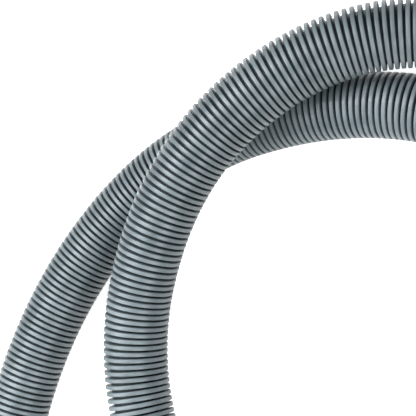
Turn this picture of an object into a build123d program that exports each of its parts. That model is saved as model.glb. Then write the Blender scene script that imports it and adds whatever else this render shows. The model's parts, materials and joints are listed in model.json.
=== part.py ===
from build123d import *
import math
import os

os.makedirs("parts", exist_ok=True)

# Pool and spa vacuum hose, loosely coiled in two turns, with a swivel cuff on one end and a fixed
# cuff on the other. Millimetres, +Z up, the floor at Z = 0, the origin under the middle of the part.

# Hose. The outer diameter is over the crests of the corrugation and the bore is the clear way.
HOSE_OD = 48.0
HOSE_BORE = 38.0

# Route of the hose's centreline, from the swivel end to the fixed end, before ORIGIN is taken off.
# The first turn lies on the floor. The second turn climbs over the swivel end's tail, then over the
# first turn, and the fixed end climbs again to lie across the coil.
ORIGIN = (-144.3, 95.7)
ROUTE = [
    (84, -232, 32), (92, -150, 32), (106, -60, 24), (117, 50, 24), (124, 162, 24), (109, 287, 24),
    (31, 406, 24), (-114, 464, 24), (-279, 452, 24), (-390, 374, 24), (-462, 240, 24),
    (-472, 90, 24), (-420, -50, 24), (-305, -145, 24), (-155, -190, 32), (-4, -187, 79),
    (136, -85, 79), (176, 50, 40), (181, 182, 44), (136, 298, 71), (16, 372, 75), (-145, 367, 43),
    (-263, 244, 26), (-310, 128, 25), (-315, -5, 58), (-294, -112, 71),
]
ARC_SHARE = 0.45

# Running and bonded fits between round pieces, as a gap on the radius.
RUNNING_GAP = 0.1
BOND_GAP = 0.05
CLEAR_GAP = 0.3

# Sockets for the 38 mm spigots of a vacuum head, skimmer plate or pump.
SOCKET_RADIUS = 19.1
SOCKET_DEPTH = 50.0
SOCKET_LEAD = 1.5
STOP_RADIUS = 18.0
STOP_THICKNESS = 3.0

# Swivel end, along its axis from the hose's end face, positive towards the mouth.
SLEEVE_BACK = -44.0
SLEEVE_RADIUS = 25.8
SLEEVE_LIP = 3.0
FLANGE_RADIUS = 28.5
FLANGE_BACK = -6.0
FLANGE_FRONT = -2.0
WASHER_THICKNESS = 1.5
CHAMBER_RADIUS = 29.5
CHAMBER_FLOOR = 4.9
SWIVEL_BACK = -30.0
SWIVEL_RADIUS = 31.2
SWIVEL_MOUTH_RADIUS = 23.5
SWIVEL_SHOULDER = 7.0
SWIVEL_NECK_RADIUS = 26.5
RETAINER_RIM = 2.0
RETAINER_RIM_RADIUS = 30.6
SEAL_THICKNESS = 1.5
SEAL_INNER_RADIUS = 20.0

# Fixed end, along its axis in the same way.
FIXED_BACK = -42.0
FIXED_RADIUS = 27.0
FIXED_BEAD_RADIUS = 28.2
FIXED_NECK_RADIUS = 25.5
FIXED_MOUTH_RADIUS = 23.5
FIXED_SHOULDER = 5.0
INSERT_BORE_RADIUS = 17.6
INSERT_LENGTH = 38.0
INSERT_FLANGE = 1.2
INSERT_FLANGE_RADIUS = 23.0
GASKET_THICKNESS = 1.4

# Raised rings and grip ribs on both cuffs.
RING_WIDTH = 3.0
RING_HEIGHT = 1.0
RING_ROOT = 2.0
MOUTH_LENGTH = 12.0
NECK_LENGTH = 8.0
RIB_COUNT = 20
RIB_WIDTH = 3.0
RIB_HEIGHT = 1.0
RIB_BACK_MARGIN = 4.0
RIB_FRONT_MARGIN = 2.0

# Worm-drive clip on the fixed cuff.
BAND_THICKNESS = 0.8
BAND_WIDTH = 12.0
BAND_CENTRE = -30.0
BAND_SIDE_GAP = 1.0
BAND_TO_RIBS = 3.0
CLIP_ANGLE = 65.0
HOUSING_LENGTH = 14.0
HOUSING_WIDTH = 14.0
HOUSING_WALL = 1.2
SCREW_RADIUS = 3.6
SCREW_THREAD_LENGTH = 17.0
SCREW_HEAD_FLATS = 7.0
SCREW_HEAD_LENGTH = 5.0
SCREW_SLOT_WIDTH = 1.1
SCREW_SLOT_DEPTH = 1.6
TAIL_LENGTH = 16.0
TAIL_WIDTH = 10.0
TAIL_LEVEL = 1.17


def route_points():
    """The hose's route in the part's own frame."""
    return [Vector(x - ORIGIN[0], y - ORIGIN[1], z) for x, y, z in ROUTE]


def corner_radii(points):
    """The largest bend that fits each corner: arcs take ARC_SHARE of the shorter run on each side."""
    radii = []
    for before, corner, after in zip(points, points[1:], points[2:]):
        run_in = corner - before
        run_out = after - corner
        half_turn = math.radians(run_in.get_angle(run_out)) / 2
        shorter = min(run_in.length, run_out.length)
        radii.append(ARC_SHARE * shorter / math.tan(half_turn))
    return radii


def end_plane(end, neighbour):
    """A plane on a hose end: Z points out of the mouth and Y points up."""
    outward = (end - neighbour).normalized()
    sideways = Vector(0, 0, 1).cross(outward)
    return Plane(origin=end, x_dir=sideways, z_dir=outward)


def turned(profile):
    """A solid of revolution about Z from (radius, height) points."""
    outline = [(radius, 0, height) for radius, height in profile]
    face = make_face(Polyline(*outline, close=True))
    return revolve(face, Axis.Z)


def ring(inner, outer, back, front):
    """A plain ring between two heights."""
    return turned([(inner, back), (outer, back), (outer, front), (inner, front)])


def hose_tube(points, radii):
    """The hose as a plain tube along its route."""
    line = FilletPolyline(*points, radius=radii)
    start = Plane(origin=line @ 0, z_dir=line % 0)
    section = start * (Circle(HOSE_OD / 2) - Circle(HOSE_BORE / 2))
    return sweep(section, path=line)


def swivel_sleeve():
    """Rigid sleeve bonded over the hose: the cuff turns on it, held by its flange."""
    bond = HOSE_OD / 2 + BOND_GAP
    return turned([
        (bond, SLEEVE_BACK), (SLEEVE_RADIUS, SLEEVE_BACK), (SLEEVE_RADIUS, FLANGE_BACK),
        (FLANGE_RADIUS, FLANGE_BACK), (FLANGE_RADIUS, FLANGE_FRONT),
        (SLEEVE_RADIUS, FLANGE_FRONT), (SLEEVE_RADIUS, SLEEVE_LIP),
        (HOSE_BORE / 2, SLEEVE_LIP), (HOSE_BORE / 2, BOND_GAP), (bond, BOND_GAP),
    ])


def swivel_washer():
    """Slip washer behind the flange."""
    front = FLANGE_BACK - BOND_GAP
    back = front - WASHER_THICKNESS
    return ring(SLEEVE_RADIUS + BOND_GAP, FLANGE_RADIUS, back, front)


def swivel_retainer():
    """Ring pressed into the back of the swivel cuff. It runs on the sleeve and traps the flange."""
    inner = SLEEVE_RADIUS + RUNNING_GAP
    outer = CHAMBER_RADIUS - BOND_GAP
    front = FLANGE_BACK - BOND_GAP - WASHER_THICKNESS - CLEAR_GAP
    rim_front = SWIVEL_BACK - BOND_GAP
    rim_back = rim_front - RETAINER_RIM
    return turned([
        (inner, rim_back), (RETAINER_RIM_RADIUS, rim_back), (RETAINER_RIM_RADIUS, rim_front),
        (outer, rim_front), (outer, front), (inner, front),
    ])


def swivel_seal():
    """Flat ring seal between the sleeve's lip and the floor of the cuff's chamber."""
    back = SLEEVE_LIP + CLEAR_GAP
    return ring(SEAL_INNER_RADIUS, SLEEVE_RADIUS, back, back + SEAL_THICKNESS)


def cuff_grip(radius, back, front):
    """Grip ribs along a cuff's barrel."""
    height = front - back
    depth = 2 * RIB_HEIGHT
    rib = Box(depth, RIB_WIDTH, height, align=(Align.CENTER, Align.CENTER, Align.MIN))
    ribs = [
        Rot(0, 0, index * 360 / RIB_COUNT) * Pos(radius, 0, back) * rib
        for index in range(RIB_COUNT)
    ]
    return ribs


def mouth_rings(radius, front):
    """Two raised rings round a cuff's mouth."""
    first = front - RING_WIDTH
    second = first - 2 * RING_WIDTH
    inner = SOCKET_RADIUS + RING_ROOT
    outer = radius + RING_HEIGHT
    return [ring(inner, outer, back, back + RING_WIDTH) for back in (first, second)]


def swivel_cuff():
    """Soft cuff that turns on the sleeve: a chamber for the flange, then the socket."""
    stop_front = CHAMBER_FLOOR + STOP_THICKNESS
    mouth = stop_front + SOCKET_DEPTH
    body = turned([
        (CHAMBER_RADIUS, SWIVEL_BACK), (SWIVEL_RADIUS, SWIVEL_BACK),
        (SWIVEL_RADIUS, SWIVEL_SHOULDER), (SWIVEL_NECK_RADIUS, SWIVEL_SHOULDER + NECK_LENGTH),
        (SWIVEL_MOUTH_RADIUS, mouth - MOUTH_LENGTH),
        (SWIVEL_MOUTH_RADIUS, mouth), (SOCKET_RADIUS + SOCKET_LEAD, mouth),
        (SOCKET_RADIUS, mouth - SOCKET_LEAD), (SOCKET_RADIUS, stop_front),
        (STOP_RADIUS, stop_front), (STOP_RADIUS, CHAMBER_FLOOR),
        (CHAMBER_RADIUS, CHAMBER_FLOOR),
    ])
    ribs = cuff_grip(
        SWIVEL_RADIUS - RIB_HEIGHT / 2, SWIVEL_BACK + RIB_BACK_MARGIN,
        SWIVEL_SHOULDER - RIB_FRONT_MARGIN)
    return body + ribs + mouth_rings(SWIVEL_MOUTH_RADIUS, mouth)


def fixed_insert():
    """Rigid tube inside the hose's end that backs up the clip, with a flange on the end face."""
    inner = INSERT_BORE_RADIUS
    outer = HOSE_BORE / 2 - BOND_GAP
    flange_front = BOND_GAP + INSERT_FLANGE
    return turned([
        (inner, -INSERT_LENGTH), (outer, -INSERT_LENGTH), (outer, BOND_GAP),
        (INSERT_FLANGE_RADIUS, BOND_GAP), (INSERT_FLANGE_RADIUS, flange_front),
        (inner, flange_front),
    ])


def fixed_gasket():
    """Flat gasket between the insert's flange and the cuff's stop."""
    back = 2 * BOND_GAP + INSERT_FLANGE
    return ring(STOP_RADIUS, INSERT_FLANGE_RADIUS, back, back + GASKET_THICKNESS)


def fixed_cuff():
    """Soft cuff pushed over the hose and held by the clip, with the same socket."""
    hose_seat = HOSE_OD / 2 + BOND_GAP
    stop_back = 3 * BOND_GAP + INSERT_FLANGE + GASKET_THICKNESS
    stop_front = stop_back + STOP_THICKNESS
    mouth = stop_front + SOCKET_DEPTH
    band_back = BAND_CENTRE - BAND_WIDTH / 2 - BAND_SIDE_GAP
    band_front = BAND_CENTRE + BAND_WIDTH / 2 + BAND_SIDE_GAP
    body = turned([
        (hose_seat, FIXED_BACK), (FIXED_BEAD_RADIUS, FIXED_BACK),
        (FIXED_BEAD_RADIUS, band_back), (FIXED_RADIUS, band_back),
        (FIXED_RADIUS, band_front), (FIXED_BEAD_RADIUS, band_front),
        (FIXED_BEAD_RADIUS, FIXED_SHOULDER), (FIXED_NECK_RADIUS, FIXED_SHOULDER + NECK_LENGTH),
        (FIXED_MOUTH_RADIUS, mouth - MOUTH_LENGTH),
        (FIXED_MOUTH_RADIUS, mouth), (SOCKET_RADIUS + SOCKET_LEAD, mouth),
        (SOCKET_RADIUS, mouth - SOCKET_LEAD), (SOCKET_RADIUS, stop_front),
        (STOP_RADIUS, stop_front), (STOP_RADIUS, stop_back), (hose_seat, stop_back),
    ])
    ribs = cuff_grip(
        FIXED_BEAD_RADIUS - RIB_HEIGHT / 2, band_front + BAND_TO_RIBS,
        FIXED_SHOULDER - RIB_FRONT_MARGIN)
    return body + ribs + mouth_rings(FIXED_MOUTH_RADIUS, mouth)


def clip_frame():
    """Where the clip's housing sits on the band: X along the screw, Z outwards from the cuff."""
    return Rot(0, 0, CLIP_ANGLE) * Pos(FIXED_RADIUS, 0, BAND_CENTRE) * Rot(0, 90, 0) * Rot(0, 0, 90)


def clip_band():
    """Steel band round the cuff, with its free end passing through the housing."""
    inner = FIXED_RADIUS + BOND_GAP
    outer = inner + BAND_THICKNESS
    back = BAND_CENTRE - BAND_WIDTH / 2
    loop = ring(inner, outer, back, back + BAND_WIDTH)
    tail = Box(TAIL_LENGTH, TAIL_WIDTH, BAND_THICKNESS)
    return loop + clip_frame() * Pos(TAIL_LENGTH / 2, 0, TAIL_LEVEL) * tail


def screw_height():
    """Height of the screw's axis over the band's seat."""
    return BOND_GAP + 2 * BAND_THICKNESS + CLEAR_GAP + SCREW_RADIUS


def clip_housing():
    """Pressed housing that holds the screw over the band."""
    bottom = BOND_GAP + 2 * BAND_THICKNESS + CLEAR_GAP
    height = 2 * SCREW_RADIUS + HOUSING_WALL + RUNNING_GAP
    shell = Pos(0, 0, bottom + height / 2) * Box(HOUSING_LENGTH, HOUSING_WIDTH, height)
    bore = Pos(0, 0, screw_height()) * Rot(0, 90, 0) * Cylinder(
        SCREW_RADIUS + RUNNING_GAP, 2 * HOUSING_LENGTH)
    roof_edges = shell.edges().filter_by(Axis.X).sort_by(Axis.Z)[-2:]
    return clip_frame() * (fillet(roof_edges, SCREW_RADIUS) - bore)


def clip_screw():
    """Worm screw with a slotted hexagon head."""
    thread = Cylinder(SCREW_RADIUS, SCREW_THREAD_LENGTH)
    head_plane = SCREW_THREAD_LENGTH / 2
    hexagon = extrude(RegularPolygon(SCREW_HEAD_FLATS / 2, 6, major_radius=False), SCREW_HEAD_LENGTH)
    head = Pos(0, 0, head_plane) * hexagon
    slot = Box(2 * SCREW_HEAD_FLATS, SCREW_SLOT_WIDTH, 2 * SCREW_SLOT_DEPTH)
    slot = Pos(0, 0, head_plane + SCREW_HEAD_LENGTH) * slot
    screw = thread + head - slot
    return clip_frame() * Pos(0, 0, screw_height()) * Rot(0, -90, 0) * screw


def main():
    points = route_points()
    radii = corner_radii(points)
    print("bend radii, mm:", [round(radius) for radius in radii])
    swivel_end = end_plane(points[0], points[1])
    fixed_end = end_plane(points[-1], points[-2])
    nodes = {
        "hose_tube": hose_tube(points, radii),
        "swivel_sleeve": swivel_end * swivel_sleeve(),
        "swivel_washer": swivel_end * swivel_washer(),
        "swivel_retainer": swivel_end * swivel_retainer(),
        "swivel_seal": swivel_end * swivel_seal(),
        "swivel_cuff": swivel_end * swivel_cuff(),
        "fixed_insert": fixed_end * fixed_insert(),
        "fixed_gasket": fixed_end * fixed_gasket(),
        "fixed_cuff": fixed_end * fixed_cuff(),
        "clip_band": fixed_end * clip_band(),
        "clip_housing": fixed_end * clip_housing(),
        "clip_screw": fixed_end * clip_screw(),
    }
    for name, shape in nodes.items():
        export_step(shape, f"parts/{name}.step")
    box = Compound(children=list(nodes.values())).bounding_box()
    print("box, mm:", box.min, box.max)


main()
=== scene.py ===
import json
import math

import bmesh
import bpy
import numpy as np
from mathutils import Matrix, Vector

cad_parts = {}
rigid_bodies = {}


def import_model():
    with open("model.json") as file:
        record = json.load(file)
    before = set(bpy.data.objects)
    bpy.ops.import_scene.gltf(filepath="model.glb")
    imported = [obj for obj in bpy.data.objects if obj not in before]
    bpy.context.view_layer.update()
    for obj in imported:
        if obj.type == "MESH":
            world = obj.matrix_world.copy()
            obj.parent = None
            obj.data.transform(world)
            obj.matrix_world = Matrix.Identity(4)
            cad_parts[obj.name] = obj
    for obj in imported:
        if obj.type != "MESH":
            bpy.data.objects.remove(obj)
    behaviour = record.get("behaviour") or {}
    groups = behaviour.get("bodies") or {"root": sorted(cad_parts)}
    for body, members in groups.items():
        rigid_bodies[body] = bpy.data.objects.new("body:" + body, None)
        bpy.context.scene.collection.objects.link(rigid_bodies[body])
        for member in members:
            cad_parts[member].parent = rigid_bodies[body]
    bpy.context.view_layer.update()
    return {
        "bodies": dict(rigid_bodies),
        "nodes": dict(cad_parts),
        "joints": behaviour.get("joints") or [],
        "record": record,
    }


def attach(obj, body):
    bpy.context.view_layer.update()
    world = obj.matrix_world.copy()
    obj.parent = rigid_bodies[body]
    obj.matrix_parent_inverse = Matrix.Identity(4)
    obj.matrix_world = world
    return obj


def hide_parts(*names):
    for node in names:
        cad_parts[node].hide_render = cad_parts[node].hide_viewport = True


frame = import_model()

# Camera: steep view down on the coil, rolled so that the far side is on the left.
CAMERA_AT = Vector((0.1443, -0.0957, 0.701))
CAMERA_ELEVATION = 62.2
CAMERA_ROLL = 70.2
IMAGE_SIDE = 416
FOCAL_PIXELS = 1000.0
SENSOR = 36.0

# Hose, in metres. The route's points are those of the CAD hose, and ORIGIN is taken off them.
ORIGIN = (-0.1443, 0.0957)
ROUTE = [
    (0.084, -0.232, 0.032), (0.092, -0.150, 0.032), (0.106, -0.060, 0.024), (0.117, 0.050, 0.024),
    (0.124, 0.162, 0.024), (0.109, 0.287, 0.024), (0.031, 0.406, 0.024), (-0.114, 0.464, 0.024),
    (-0.279, 0.452, 0.024), (-0.390, 0.374, 0.024), (-0.462, 0.240, 0.024), (-0.472, 0.090, 0.024),
    (-0.420, -0.050, 0.024), (-0.305, -0.145, 0.024), (-0.155, -0.190, 0.032),
    (-0.004, -0.187, 0.079), (0.136, -0.085, 0.079), (0.176, 0.050, 0.040), (0.181, 0.182, 0.044),
    (0.136, 0.298, 0.071), (0.016, 0.372, 0.075), (-0.145, 0.367, 0.043), (-0.263, 0.244, 0.026),
    (-0.310, 0.128, 0.025), (-0.315, -0.005, 0.058), (-0.294, -0.112, 0.071),
]
HOSE_OD = 0.048
HOSE_BORE = 0.038
RIB_PITCH = 0.0049
RIB_DEPTH = 0.0043
# Half of a rib's outline, from the middle of its crest to the groove floor:
# (share of the pitch along the hose, share of the rib's depth below the crest).
RIB_OUTLINE = [(0.23, 0.0), (0.29, 0.08), (0.32, 0.35), (0.345, 1.0)]
SIDES = 42
# Two low mould lines run along the hose, turning slowly, and stop short of its ends.
PARTING_TURN = math.radians(73.0)
PARTING_TWIST = math.radians(20.0)
PARTING_WIDTH = math.radians(1.0)
PARTING_HEIGHT = 0.00012
PARTING_INSET = 0.06
# The bore's faint waves, and how much of the grooves' painted shade it shows.
BORE_WAVE = 0.0006
BORE_GROOVE_SHADE = 0.5
# Ribs on the texture map before it repeats, and the share of the map's height that they take.
MAP_RIBS = 32
MAP_SHARE = 0.9

# Lights, as (name, direction from the middle of the view, distance, side, power).
LIT_PLACE = Vector((0.144, 0.258, 0.03))
LIGHTS = [
    ("key", (0.07, 0.3, 0.95), 1.0, 0.55, 12.3),
    ("fill", (-0.37, -0.77, 0.55), 1.0, 0.4, 5.6),
    ("side", (-0.62, 0.42, 0.67), 0.6, 0.4, 3.0),
]
SURROUND = 0.2
FLOOR_HALF = 4.0
FLOOR_DROP = 0.0005
FLOOR_GLOW = 0.9

# Colours, linear.
HOSE_DARK = (0.103, 0.133, 0.146)
HOSE_LIGHT = (0.163, 0.2, 0.216)
# Painted shade: the colour that the grooves are darkened toward.
HOSE_GROOVE_SHADE = (0.014, 0.023, 0.028)
CUFF_DARK = (0.03, 0.04, 0.046)
CUFF_LIGHT = (0.048, 0.062, 0.07)
CUFF_SCUFF = (0.11, 0.125, 0.135)
STEEL_DARK = (0.31, 0.31, 0.3)
STEEL_LIGHT = (0.46, 0.46, 0.45)
HARD_DARK = (0.012, 0.014, 0.016)
HARD_LIGHT = (0.022, 0.025, 0.028)
SLIP_DARK = (0.6, 0.6, 0.56)
SLIP_LIGHT = (0.72, 0.72, 0.68)
SEAL_DARK = (0.008, 0.008, 0.008)
SEAL_LIGHT = (0.018, 0.018, 0.018)
# Least and most roughness.
HOSE_ROUGH = (0.34, 0.48)
CUFF_ROUGH = (0.55, 0.72)
STEEL_ROUGH = (0.24, 0.38)
HARD_ROUGH = (0.35, 0.5)
SLIP_ROUGH = (0.4, 0.55)
SEAL_ROUGH = (0.7, 0.85)
# Where the clouds turn from the dark tone to the light one, and how fine and deep the grain is.
CLOUD_RAMP = (0.35, 0.68)
GRAIN_SCALE = 900.0
GRAIN_DEPTH = 0.0002
# Steel's brushing: how fine it is across the strip and along it.
STEEL_ACROSS = 2600
STEEL_ALONG = 40.0

# Cuffs, in millimetres, as (distance out from the hose's end face, radius) round the wall's
# section. Points on the barrel's face within the grip's span carry the grip ribs.
SWIVEL_BARREL = 31.2
SWIVEL_SECTION = [
    (-30.0, 29.5), (4.9, 29.5), (4.9, 18.0), (7.9, 18.0), (7.9, 19.1), (56.4, 19.1),
    (57.9, 20.6), (57.9, 24.5), (54.9, 24.5), (54.9, 23.5), (51.9, 23.5), (51.9, 24.5),
    (48.9, 24.5), (48.9, 23.5), (45.9, 23.5), (15.0, 26.5), (7.0, SWIVEL_BARREL),
    (-30.0, SWIVEL_BARREL),
]
SWIVEL_GRIP = (-26.0, 5.0)
FIXED_BARREL = 28.2
FIXED_SECTION = [
    (-42.0, 24.05), (2.75, 24.05), (2.75, 18.0), (5.75, 18.0), (5.75, 19.1), (54.25, 19.1),
    (55.75, 20.6), (55.75, 24.5), (52.75, 24.5), (52.75, 23.5), (49.75, 23.5), (49.75, 24.5),
    (46.75, 24.5), (46.75, 23.5), (43.75, 23.5), (13.0, 25.5), (5.0, FIXED_BARREL),
    (-23.0, FIXED_BARREL), (-23.0, 27.0), (-37.0, 27.0), (-37.0, FIXED_BARREL),
    (-42.0, FIXED_BARREL),
]
FIXED_GRIP = (-20.0, 3.0)
GRIP_RIBS = 20
GRIP_RISE = 0.5
GRIP_END = 1.0
# One grip rib and the gap after it, round the cuff: how far each column is raised.
GRIP_COLUMNS = [0.0, 0.0, 0.0, 0.0, 0.6, 1.0, 1.0, 0.6]
EDGE_ROUND = 0.7

# Clip band, in millimetres: a ring on the fixed cuff and a free end that lies flat on it.
BAND_RADIUS = 27.85
BAND_SECTION = [(-36.0, 27.05), (-36.0, BAND_RADIUS), (-24.0, BAND_RADIUS), (-24.0, 27.05)]
BAND_SLOTS = (-33.5, -26.5)
BAND_SLOT_COUNT = 54
BAND_SLOT_COLUMNS = [0.0, 1.0, 1.0, 0.0]
BAND_SLOT_SINK = 0.45
BAND_SLOT_SLANT = 0.006
BAND_EDGE = 0.2
CLIP_ANGLE = math.radians(65.0)
CLIP_SEAT = (27.0, -30.0)
TAIL_LENGTH = 16.0
TAIL_WIDTH = 10.0
TAIL_LEVELS = (0.77, 1.57)
TAIL_SLOTS = [3.5, 6.7, 9.9, 13.1]
TAIL_SLOT_SIZE = (1.6, 6.6)
TAIL_BEVEL = 0.1
TAIL_TIP = (1.0, 0.8)
# How near a radius counts as on a cuff's or band's outer face.
ON_FACE = 0.05


def add_camera():
    """A long lens that looks along +Y and down, turned about its own axis."""
    data = bpy.data.cameras.new("camera")
    data.sensor_width = SENSOR
    data.lens = SENSOR * FOCAL_PIXELS / IMAGE_SIDE
    data.clip_end = 20
    camera = bpy.data.objects.new("camera", data)
    tilt = math.radians(90 - CAMERA_ELEVATION)
    turn = Matrix.Rotation(tilt, 4, "X") @ Matrix.Rotation(-math.radians(CAMERA_ROLL), 4, "Z")
    camera.matrix_world = Matrix.Translation(CAMERA_AT) @ turn
    bpy.context.scene.collection.objects.link(camera)
    bpy.context.scene.camera = camera


def route_line():
    """Points along the route's smooth line, read from its NURBS spline."""
    curve = bpy.data.curves.new("route", "CURVE")
    curve.dimensions = "3D"
    spline = curve.splines.new("NURBS")
    spline.points.add(len(ROUTE) - 1)
    for point, (x, y, z) in zip(spline.points, ROUTE):
        point.co = (x - ORIGIN[0], y - ORIGIN[1], z, 1)
    spline.order_u = 3
    spline.use_endpoint_u = True
    spline.resolution_u = 64
    holder = bpy.data.objects.new("route", curve)
    mesh = bpy.data.meshes.new_from_object(holder)
    line = np.empty(len(mesh.vertices) * 3)
    mesh.vertices.foreach_get("co", line)
    bpy.data.objects.remove(holder)
    bpy.data.meshes.remove(mesh)
    bpy.data.curves.remove(curve)
    return line.reshape(-1, 3)


class Line:
    """The hose's centreline by length along it."""

    def __init__(self, points):
        self.points = points
        steps = np.linalg.norm(np.diff(points, axis=0), axis=1)
        self.at = np.concatenate([[0], np.cumsum(steps)])
        self.length = self.at[-1]
        self.tangents = np.gradient(points, self.at, axis=0)

    def place(self, along):
        """Positions and the two directions across the hose, sideways and up."""
        centre = np.stack([np.interp(along, self.at, self.points[:, i]) for i in range(3)], 1)
        ahead = np.stack([np.interp(along, self.at, self.tangents[:, i]) for i in range(3)], 1)
        ahead /= np.linalg.norm(ahead, axis=1)[:, None]
        side = np.cross((0, 0, 1), ahead)
        side /= np.linalg.norm(side, axis=1)[:, None]
        up = np.cross(ahead, side)
        return centre, side, up


def ring_faces(rings, sides, first=0, flip=False):
    """Quads between neighbouring closed rings of the same number of points."""
    ring = np.arange(rings - 1)[:, None] * sides
    here = np.arange(sides)[None, :]
    nxt = (here + 1) % sides
    quads = np.stack([ring + here, ring + nxt, ring + sides + nxt, ring + sides + here], -1)
    quads = quads.reshape(-1, 4) + first
    return quads[:, ::-1] if flip else quads


def mesh_from(name, points, faces, smooth=True):
    """A mesh from arrays of points and of four-cornered faces."""
    mesh = bpy.data.meshes.new(name)
    mesh.vertices.add(len(points))
    mesh.vertices.foreach_set("co", np.asarray(points, np.float32).ravel())
    mesh.loops.add(len(faces) * 4)
    mesh.loops.foreach_set("vertex_index", np.asarray(faces, np.int32).ravel())
    mesh.polygons.add(len(faces))
    mesh.polygons.foreach_set("loop_start", np.arange(len(faces), dtype=np.int32) * 4)
    mesh.polygons.foreach_set("use_smooth", np.full(len(faces), smooth))
    mesh.update(calc_edges=True)
    mesh.validate()
    return mesh


def flatten_shading(piece):
    """Shades broad faces flat, so that only the narrow faces between them look rounded."""
    normals = piece.modifiers.new("normals", "WEIGHTED_NORMAL")
    normals.weight = 100


def rib_rings(line):
    """The outside's rings: where each is centred, the two directions across it, and its depth.

    A rib is stiff, so its own rings stay side by side, and only the grooves open and close as
    the hose bends.
    """
    shape = [(-at, depth) for at, depth in reversed(RIB_OUTLINE)] + RIB_OUTLINE
    count = int(line.length / RIB_PITCH)
    spare = (line.length - count * RIB_PITCH) / 2
    middle = (np.arange(count) + 0.5) * RIB_PITCH + spare
    centre, side, up = line.place(middle)
    ahead = np.cross(side, up)
    shift = np.array([at for at, depth in shape]) * RIB_PITCH
    centre = centre[:, None, :] + shift[None, :, None] * ahead[:, None, :]
    side = np.repeat(side, len(shape), axis=0)
    up = np.repeat(up, len(shape), axis=0)
    along = (middle[:, None] + shift[None, :]).ravel()
    depth = np.tile([depth for at, depth in shape], count)
    ends, end_side, end_up = line.place(np.array([0, line.length]))
    centre = np.concatenate([ends[:1], centre.reshape(-1, 3), ends[1:]])
    side = np.concatenate([end_side[:1], side, end_side[1:]])
    up = np.concatenate([end_up[:1], up, end_up[1:]])
    along = np.concatenate([[0], along, [line.length]])
    depth = np.concatenate([[1], depth, [1]])
    return along, centre, side, up, depth


def around(angle, centre, side, up, radius):
    """Points round each ring, ring by ring."""
    return (centre[:, None, :] + radius[..., None] * (
        np.cos(angle)[..., None] * side[:, None, :] + np.sin(angle)[..., None] * up[:, None, :]))


def column_angles():
    """Angles round the hose with their rise: even columns, and two narrow parting lines."""
    even = [((turn + 0.5) * 2 * math.pi / SIDES, 0.0) for turn in range(SIDES)]
    seam = []
    for start in (0.0, math.pi):
        seam += [(start - PARTING_WIDTH, 0.0), (start, PARTING_HEIGHT), (start + PARTING_WIDTH, 0.0)]
    columns = sorted([(turn % (2 * math.pi), rise) for turn, rise in even + seam])
    return np.array([turn for turn, rise in columns]), np.array([rise for turn, rise in columns])


def strip_map(rings, angle, repeat, low, high):
    """Texture places for ring_faces: round the hose across the map, and along it up the map.

    The hose goes up the map again after every given number of rings.
    """
    turn = np.append(angle, angle[0] + 2 * math.pi) / (2 * math.pi)
    step = (high - low) / repeat
    start = low + step * (np.arange(rings - 1) % repeat)
    places = np.empty((rings - 1, len(angle), 4, 2))
    places[:, :, (0, 3), 0] = turn[None, :-1, None]
    places[:, :, (1, 2), 0] = turn[None, 1:, None]
    places[:, :, (0, 1), 1] = start[:, None, None]
    places[:, :, (2, 3), 1] = start[:, None, None] + step
    return places.reshape(-1, 4, 2)


def add_map(mesh, rings, bore_rings, angle):
    """A texture map for the colours, laid out so that each rib gets a sharp share of it."""
    per_rib = 2 * len(RIB_OUTLINE)
    outside = strip_map(rings, angle, MAP_RIBS * per_rib, 0, MAP_SHARE)
    inside = strip_map(bore_rings, angle, MAP_RIBS, MAP_SHARE, 1)[:, ::-1]
    ends = strip_map(3, angle, 2, MAP_SHARE, 1)
    layer = mesh.uv_layers.new(name="OFBake")
    layer.uv.foreach_set("vector", np.concatenate([outside, inside, ends]).ravel())


def hose_piece(line):
    """The ribbed hose: its outside, its bore and its two end faces, as one closed mesh."""
    along, centre, side, up, depth = rib_rings(line)
    angle, rise = column_angles()
    sides = len(angle)
    turned = angle[None, :] + (PARTING_TURN + PARTING_TWIST * along)[:, None]
    clear = (along > PARTING_INSET) & (along < line.length - PARTING_INSET)
    radius = HOSE_OD / 2 - RIB_DEPTH * depth[:, None] + rise[None, :] * (
        (1 - depth) * clear)[:, None]
    outside = around(turned, centre, side, up, radius)
    bore_along = np.linspace(0, line.length, int(line.length / RIB_PITCH) + 1)
    bore_turned = angle[None, :] + (PARTING_TURN + PARTING_TWIST * bore_along)[:, None]
    bore_radius = HOSE_BORE / 2 + BORE_WAVE * (np.arange(len(bore_along)) % 2)
    bore_radius = np.repeat(bore_radius[:, None], sides, axis=1)
    inside = around(bore_turned, *line.place(bore_along), bore_radius)
    first = len(along) * sides
    last_out = first - sides
    last_in = first + (len(bore_along) - 1) * sides
    here = np.arange(sides)
    nxt = (here + 1) % sides
    faces = np.concatenate([
        ring_faces(len(along), sides),
        ring_faces(len(bore_along), sides, first, flip=True),
        np.stack([here, first + here, first + nxt, nxt], -1),
        np.stack([last_out + here, last_out + nxt, last_in + nxt, last_in + here], -1)])
    points = np.concatenate([outside.reshape(-1, 3), inside.reshape(-1, 3)])
    mesh = mesh_from("ribbed_hose", points, faces)
    add_map(mesh, len(along), len(bore_along), angle)
    # Painted shade: the groove attribute is 1 on groove floors, 0 on crests and a set share in the
    # bore.
    groove = mesh.attributes.new("groove", "FLOAT", "POINT")
    groove.data.foreach_set("value", np.concatenate([
        np.repeat(depth, sides), np.full(inside.shape[0] * sides, BORE_GROOVE_SHADE)]).astype(np.float32))
    piece = bpy.data.objects.new("ribbed_hose", mesh)
    bpy.context.scene.collection.objects.link(piece)
    flatten_shading(piece)
    return piece, centre[len(RIB_OUTLINE)::2 * len(RIB_OUTLINE)]


def end_frame(line, at_start):
    """The frame on a hose end: Z out of the mouth, X sideways and Y up, in millimetres."""
    end = line.points[0 if at_start else -1]
    inward = line.points[1 if at_start else -2]
    outward = Vector(end - inward).normalized()
    sideways = Vector((0, 0, 1)).cross(outward).normalized()
    up = outward.cross(sideways)
    frame = Matrix((sideways, up, outward)).transposed().to_4x4()
    return Matrix.Translation(Vector(end)) @ frame @ Matrix.Scale(0.001, 4)


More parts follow.
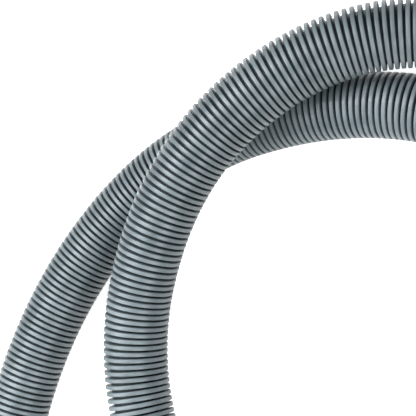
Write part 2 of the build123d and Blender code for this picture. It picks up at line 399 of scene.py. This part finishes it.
def rounded(section, radius, steps=3):
    """A closed outline with each corner turned into a short arc."""
    points = [np.array(point, float) for point in section]
    result = []
    for before, corner, after in zip(points[-1:] + points[:-1], points, points[1:] + points[:1]):
        run_in, run_out = before - corner, after - corner
        long_in, long_out = np.linalg.norm(run_in), np.linalg.norm(run_out)
        reach = min(radius, 0.4 * long_in, 0.4 * long_out)
        start, stop = corner + run_in / long_in * reach, corner + run_out / long_out * reach
        for step in range(steps + 1):
            t = step / steps
            result.append((1 - t) ** 2 * start + 2 * t * (1 - t) * corner + t * t * stop)
    return np.array(result)


def with_points(section, radius, stations):
    """The outline with more points where its face at that radius passes the given stations."""
    result = []
    for here, after in zip(section, section[1:] + section[:1]):
        result.append(here)
        if here[1] == radius == after[1]:
            between = [at for at in stations if min(here[0], after[0]) < at < max(here[0], after[0])]
            between.sort(reverse=here[0] > after[0])
            result += [(at, radius) for at in between]
    return result


def lathe(name, section, frame, raised, columns, repeats, rise, slant=0.0):
    """A closed ring with the given section, raised or sunk in a repeated pattern round it.

    raised tells, for each point of the section, how much of the pattern it takes.
    """
    turns = np.arange(len(columns) * repeats) * 2 * math.pi / (len(columns) * repeats)
    pattern = np.tile(columns, repeats)
    turned = turns[None, :] + slant * (section[:, 0] - section[:, 0].mean())[:, None]
    radius = section[:, 1][:, None] + rise * raised[:, None] * pattern[None, :]
    local = np.stack([
        radius * np.cos(turned), radius * np.sin(turned),
        np.repeat(section[:, 0][:, None], len(turns), axis=1)], -1).reshape(-1, 3)
    matrix = np.array(frame)
    points = local @ matrix[:3, :3].T + matrix[:3, 3]
    order = np.append(np.arange(len(section)), 0)
    rings = order[:, None] * len(turns) + np.arange(len(turns))[None, :]
    nxt = np.roll(rings, -1, axis=1)
    faces = np.stack([rings[:-1], nxt[:-1], nxt[1:], rings[1:]], -1).reshape(-1, 4)
    outward = (section[:, 0] * (np.roll(section[:, 1], -1) - np.roll(section[:, 1], 1))).sum() > 0
    mesh = mesh_from(name, points, faces if outward else faces[:, ::-1])
    wear = mesh.attributes.new("wear", "FLOAT", "POINT")
    wear.data.foreach_set("value", (raised[:, None] * pattern[None, :]).ravel().astype(np.float32))
    piece = bpy.data.objects.new(name, mesh)
    bpy.context.scene.collection.objects.link(piece)
    flatten_shading(piece)
    return piece


def cuff_piece(name, section, barrel, grip, frame):
    """A soft cuff: rounded edges, a ribbed grip on the barrel and two rings round the mouth."""
    ends = [grip[0], grip[0] + GRIP_END, grip[1] - GRIP_END, grip[1]]
    outline = rounded(with_points(section, barrel, ends), EDGE_ROUND)
    raised = np.interp(outline[:, 0], ends, [0, 1, 1, 0]) * (outline[:, 1] > barrel - ON_FACE)
    return lathe(name, outline, frame, raised, GRIP_COLUMNS, GRIP_RIBS, GRIP_RISE)


def slotted_tail():
    """The band's free end as points and faces, with X round the cuff and Z outwards."""
    half_long, half_wide = TAIL_SLOT_SIZE[0] / 2, TAIL_SLOT_SIZE[1] / 2
    bevel = TAIL_BEVEL
    tip_long, tip_share = TAIL_TIP
    xs = [0.0]
    for middle in TAIL_SLOTS:
        xs += [middle - half_long, middle - half_long + bevel]
        xs += [middle + half_long - bevel, middle + half_long]
    xs = np.array(xs + [TAIL_LENGTH - tip_long, TAIL_LENGTH])
    ys = np.array([-TAIL_WIDTH / 2, -half_wide, bevel - half_wide])
    ys = np.concatenate([ys, -ys[::-1]])
    in_slot = np.abs(xs[:, None] - np.array(TAIL_SLOTS)[None, :]).min(axis=1) < half_long - bevel / 2
    sunk = in_slot[:, None] & (np.abs(ys) < half_wide - bevel / 2)[None, :]
    narrow = np.where(xs == TAIL_LENGTH, tip_share, 1.0)[:, None]
    bottom, top = TAIL_LEVELS
    flat = np.stack([
        np.repeat(xs[:, None], len(ys), axis=1), ys[None, :] * narrow, np.full(sunk.shape, bottom)], -1)
    upper = flat.copy()
    upper[:, :, 2] = top - BAND_SLOT_SINK * sunk
    points = np.concatenate([flat.reshape(-1, 3), upper.reshape(-1, 3)])
    grid = np.arange(len(xs) * len(ys)).reshape(len(xs), len(ys))
    lower_faces = np.stack([grid[:-1, :-1], grid[:-1, 1:], grid[1:, 1:], grid[1:, :-1]], -1)
    upper_faces = lower_faces[..., ::-1] + grid.size
    rim = np.concatenate([grid[:, 0], grid[-1, 1:], grid[-2::-1, -1], grid[0, -2:0:-1]])
    after = np.roll(rim, -1)
    sides = np.stack([rim, after, after + grid.size, rim + grid.size], -1)
    return points, np.concatenate([lower_faces.reshape(-1, 4), upper_faces.reshape(-1, 4), sides])


def band_piece(frame):
    """The clip's steel strip: a slotted ring, and its free end on top."""
    inner, outer = BAND_SLOTS
    ends = [inner, inner + BAND_EDGE, outer - BAND_EDGE, outer]
    outline = rounded(with_points(BAND_SECTION, BAND_RADIUS, ends), BAND_EDGE)
    raised = np.interp(outline[:, 0], ends, [0, 1, 1, 0]) * (outline[:, 1] > BAND_RADIUS - ON_FACE)
    band = lathe("clip_band_slotted", outline, frame, raised, BAND_SLOT_COLUMNS, BAND_SLOT_COUNT,
                 -BAND_SLOT_SINK, BAND_SLOT_SLANT)
    out = (math.cos(CLIP_ANGLE), math.sin(CLIP_ANGLE), 0)
    round_cuff = (-out[1], out[0], 0)
    seat = Matrix((round_cuff, (0, 0, 1), out)).transposed().to_4x4()
    seat.translation = (CLIP_SEAT[0] * out[0], CLIP_SEAT[0] * out[1], CLIP_SEAT[1])
    points, faces = slotted_tail()
    tail = mesh_from("tail", points, faces)
    tail.transform(frame @ seat)
    both = bmesh.new()
    both.from_mesh(band.data)
    both.from_mesh(tail)
    both.to_mesh(band.data)
    both.free()
    bpy.data.meshes.remove(tail)
    return band


def material_with(name, dark, light, rough, cloud_scale=40.0, grain=0.1):
    """A moulded surface: cloudy colour between two tones, uneven gloss and a fine grain."""
    material = bpy.data.materials.new(name)
    material.use_nodes = True
    nodes = material.node_tree.nodes
    links = material.node_tree.links
    shader = nodes["Principled BSDF"]
    place = nodes.new("ShaderNodeTexCoord")
    cloud = nodes.new("ShaderNodeTexNoise")
    cloud.inputs["Scale"].default_value = cloud_scale
    cloud.inputs["Detail"].default_value = 5.0
    links.new(place.outputs["Object"], cloud.inputs["Vector"])
    tone = nodes.new("ShaderNodeValToRGB")
    tone.name = "tone"
    tone.color_ramp.elements[0].position = CLOUD_RAMP[0]
    tone.color_ramp.elements[0].color = (*dark, 1)
    tone.color_ramp.elements[1].position = CLOUD_RAMP[1]
    tone.color_ramp.elements[1].color = (*light, 1)
    links.new(cloud.outputs["Fac"], tone.inputs["Fac"])
    links.new(tone.outputs["Color"], shader.inputs["Base Color"])
    gloss = nodes.new("ShaderNodeMapRange")
    gloss.inputs["To Min"].default_value = rough[0]
    gloss.inputs["To Max"].default_value = rough[1]
    links.new(cloud.outputs["Fac"], gloss.inputs["Value"])
    links.new(gloss.outputs["Result"], shader.inputs["Roughness"])
    fine = nodes.new("ShaderNodeTexNoise")
    fine.name = "fine"
    fine.inputs["Scale"].default_value = GRAIN_SCALE
    fine.inputs["Detail"].default_value = 3.0
    links.new(place.outputs["Object"], fine.inputs["Vector"])
    bump = nodes.new("ShaderNodeBump")
    bump.inputs["Strength"].default_value = grain
    bump.inputs["Distance"].default_value = GRAIN_DEPTH
    links.new(fine.outputs["Fac"], bump.inputs["Height"])
    links.new(bump.outputs["Normal"], shader.inputs["Normal"])
    return material


def mix_by_attribute(material, attribute, color, start, stop, most, speckled=False):
    """Mixes another colour in where the mesh's attribute is high, if wanted broken up by the grain."""
    nodes = material.node_tree.nodes
    links = material.node_tree.links
    where = nodes.new("ShaderNodeAttribute")
    where.attribute_name = attribute
    spread = nodes.new("ShaderNodeMapRange")
    spread.inputs["From Min"].default_value = start
    spread.inputs["From Max"].default_value = stop
    spread.inputs["To Max"].default_value = most
    links.new(where.outputs["Fac"], spread.inputs["Value"])
    share = spread.outputs["Result"]
    if speckled:
        broken = nodes.new("ShaderNodeMath")
        broken.operation = "MULTIPLY"
        links.new(share, broken.inputs[0])
        links.new(nodes["fine"].outputs["Fac"], broken.inputs[1])
        share = broken.outputs["Value"]
    mix = nodes.new("ShaderNodeMix")
    mix.data_type = "RGBA"
    mix.inputs["B"].default_value = (*color, 1)
    links.new(share, mix.inputs["Factor"])
    links.new(nodes["tone"].outputs["Color"], mix.inputs["A"])
    links.new(mix.outputs["Result"], nodes["Principled BSDF"].inputs["Base Color"])


def hose_material():
    """Blue-grey moulded plastic, with painted shade darkening the grooves and, by less, the bore."""
    material = material_with("hose_plastic", HOSE_DARK, HOSE_LIGHT, HOSE_ROUGH, cloud_scale=45.0)
    # Painted shade, darkest on the groove floors.
    mix_by_attribute(material, "groove", HOSE_GROOVE_SHADE, 0.1, 0.9, 0.85)
    return material


def cuff_material():
    """Soft dark cuff, scuffed paler along its grip ribs."""
    material = material_with(
        "cuff_rubber", CUFF_DARK, CUFF_LIGHT, CUFF_ROUGH, cloud_scale=60.0, grain=0.25)
    mix_by_attribute(material, "wear", CUFF_SCUFF, 0.5, 1.0, 0.7, speckled=True)
    return material


def steel_material(axis):
    """Stainless strip, brushed along its length, which runs round the given axis."""
    material = material_with("clip_steel", STEEL_DARK, STEEL_LIGHT, STEEL_ROUGH, grain=0.2)
    nodes = material.node_tree.nodes
    links = material.node_tree.links
    nodes["Principled BSDF"].inputs["Metallic"].default_value = 1.0
    place = nodes.new("ShaderNodeTexCoord")
    across = nodes.new("ShaderNodeVectorMath")
    across.operation = "DOT_PRODUCT"
    across.inputs[1].default_value = axis * STEEL_ACROSS
    along = nodes.new("ShaderNodeVectorMath")
    along.operation = "SCALE"
    along.inputs["Scale"].default_value = STEEL_ALONG
    joined = nodes.new("ShaderNodeVectorMath")
    joined.operation = "ADD"
    links.new(place.outputs["Object"], across.inputs[0])
    links.new(place.outputs["Object"], along.inputs[0])
    links.new(along.outputs["Vector"], joined.inputs[0])
    links.new(across.outputs["Value"], joined.inputs[1])
    for noise in [node for node in nodes if node.type == "TEX_NOISE"]:
        noise.inputs["Scale"].default_value = 1.0
        links.new(joined.outputs["Vector"], noise.inputs["Vector"])
    return material


def finish_node(name, material):
    """Gives a CAD node a better material."""
    node = frame["nodes"][name]
    for slot in node.material_slots:
        slot.material = material


def add_ends(line):
    """The two cuffs and the clip's band, and the materials of the smaller CAD pieces."""
    swivel_frame = end_frame(line, True)
    fixed_frame = end_frame(line, False)
    rubber = cuff_material()
    swivel = cuff_piece("swivel_cuff_moulded", SWIVEL_SECTION, SWIVEL_BARREL, SWIVEL_GRIP,
                        swivel_frame)
    fixed = cuff_piece("fixed_cuff_moulded", FIXED_SECTION, FIXED_BARREL, FIXED_GRIP, fixed_frame)
    for piece, body, node in ((swivel, "swivel", "swivel_cuff"), (fixed, "hose", "fixed_cuff")):
        piece.data.materials.append(rubber)
        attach(piece, body)
        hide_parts(node)
    hard = material_with("hard_plastic", HARD_DARK, HARD_LIGHT, HARD_ROUGH, cloud_scale=80.0)
    slip = material_with("slip_plastic", SLIP_DARK, SLIP_LIGHT, SLIP_ROUGH, cloud_scale=90.0)
    seal = material_with("seal_rubber", SEAL_DARK, SEAL_LIGHT, SEAL_ROUGH, cloud_scale=90.0, grain=0.3)
    steel = steel_material(Vector(fixed_frame.col[2][:3]).normalized())
    for name in ("swivel_sleeve", "swivel_retainer", "fixed_insert"):
        finish_node(name, hard)
    for name in ("swivel_seal", "fixed_gasket"):
        finish_node(name, seal)
    finish_node("swivel_washer", slip)
    band = band_piece(fixed_frame)
    band.data.materials.append(steel)
    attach(band, "hose")
    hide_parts("clip_band")
    for name in ("clip_housing", "clip_screw"):
        finish_node(name, steel)
    return [fixed, band]


def add_floor():
    """A plain white table, large enough to fill the view."""
    mesh = bpy.data.meshes.new("floor")
    side = FLOOR_HALF
    mesh.from_pydata([(-side, -side, 0), (side, -side, 0), (side, side, 0), (-side, side, 0)],
                     [], [(0, 1, 2, 3)])
    floor = bpy.data.objects.new("floor", mesh)
    floor.location.z = -FLOOR_DROP
    material = bpy.data.materials.new("floor")
    material.use_nodes = True
    shader = material.node_tree.nodes["Principled BSDF"]
    shader.inputs["Base Color"].default_value = (0.9, 0.9, 0.9, 1)
    shader.inputs["Roughness"].default_value = 0.9
    shader.inputs["Emission Color"].default_value = (1, 1, 1, 1)
    shader.inputs["Emission Strength"].default_value = FLOOR_GLOW
    mesh.materials.append(material)
    bpy.context.scene.collection.objects.link(floor)
    floor.visible_diffuse = False


def add_light(name, toward, distance, size, power):
    """A square soft light, in a given direction from the middle of the view and turned to it."""
    data = bpy.data.lights.new(name, "AREA")
    data.size = size
    data.energy = power
    light = bpy.data.objects.new(name, data)
    away = Vector(toward).normalized()
    light.location = LIT_PLACE + away * distance
    light.rotation_euler = away.to_track_quat("Z", "Y").to_euler()
    bpy.context.scene.collection.objects.link(light)


def add_lights():
    """A dim white surround and the soft lights."""
    world = bpy.data.worlds.new("studio")
    world.use_nodes = True
    world.node_tree.nodes["Background"].inputs["Color"].default_value = (1, 1, 1, 1)
    world.node_tree.nodes["Background"].inputs["Strength"].default_value = SURROUND
    bpy.context.scene.world = world
    for name, toward, distance, size, power in LIGHTS:
        add_light(name, toward, distance, size, power)
    bpy.context.scene.view_settings.view_transform = "Standard"


add_camera()
LINE = Line(route_line())
hose, centres = hose_piece(LINE)
hose.data.materials.append(hose_material())
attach(hose, "hose")
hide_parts("hose_tube")
end_pieces = add_ends(LINE)

add_floor()
add_lights()
